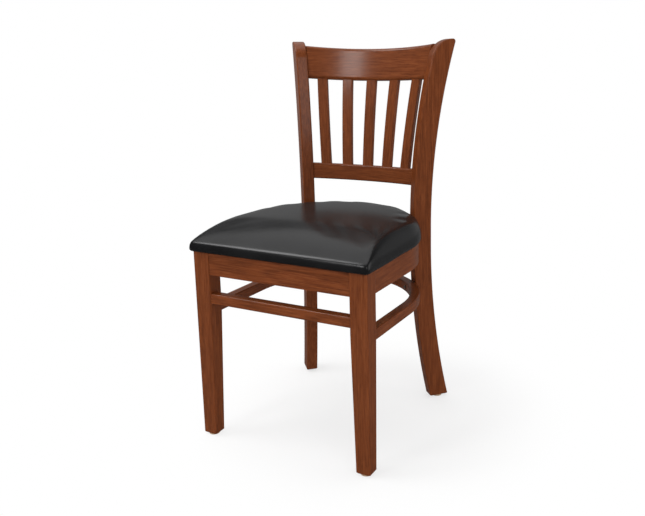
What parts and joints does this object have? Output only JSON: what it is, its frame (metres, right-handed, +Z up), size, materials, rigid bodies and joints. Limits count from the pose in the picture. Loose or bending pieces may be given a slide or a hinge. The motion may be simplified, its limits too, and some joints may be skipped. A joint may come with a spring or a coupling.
{
  "type": "restaurant side chair",
  "caption": "Armless side chair for restaurants: stained wooden frame on bent hoops, curved back with fanned slats, and a padded round-backed seat in black vinyl.",
  "frame": {"origin": "on the floor, below the middle of the chair's bounding box", "axes": "+Z up, -Y the way the sitter faces, +X to the right seen from the front"},
  "size_m": [0.447, 0.4663, 0.876],
  "materials": {
    "frame_wood": "satin lacquer",
    "block_wood": "raw",
    "dowel_wood": "raw",
    "plywood": "raw",
    "seat_vinyl": "satin",
    "seat_foam": "open foam",
    "dust_cloth": "woven",
    "zinc_steel": "zinc plated",
    "glide_nylon": "moulded"
  },
  "bodies": {
    "root": {"front_leg_right": "frame_wood", "front_leg_left": "frame_wood", "back_post_right": "frame_wood", "back_post_left": "frame_wood", "crest_rail": "frame_wood", "lower_back_rail": "frame_wood", "slat_1": "frame_wood", "slat_2": "frame_wood", "slat_3": "frame_wood", "slat_4": "frame_wood", "slat_5": "frame_wood", "front_seat_rail": "frame_wood", "seat_hoop": "frame_wood", "front_stretcher": "frame_wood", "stretcher_hoop": "frame_wood", "corner_block_right": "block_wood", "corner_block_left": "block_wood", "rear_block_right": "block_wood", "rear_block_left": "block_wood", "front_rail_dowels": "dowel_wood", "seat_hoop_dowels": "dowel_wood", "stretcher_dowels": "dowel_wood", "stretcher_hoop_dowels": "dowel_wood", "crest_rail_dowels": "dowel_wood", "lower_rail_dowels": "dowel_wood", "post_bolts": "zinc_steel", "post_bolt_washers": "zinc_steel", "post_inserts": "zinc_steel", "stretcher_screws": "zinc_steel", "corner_block_screws": "zinc_steel", "seat_screws": "zinc_steel", "seat_staples": "zinc_steel", "seat_board": "plywood", "seat_foam": "seat_foam", "seat_cover": "seat_vinyl", "dust_cover": "dust_cloth", "glide_front_right": "glide_nylon", "glide_front_left": "glide_nylon", "glide_rear_right": "glide_nylon", "glide_rear_left": "glide_nylon", "glide_nails": "zinc_steel"}
  },
  "joints": []
}
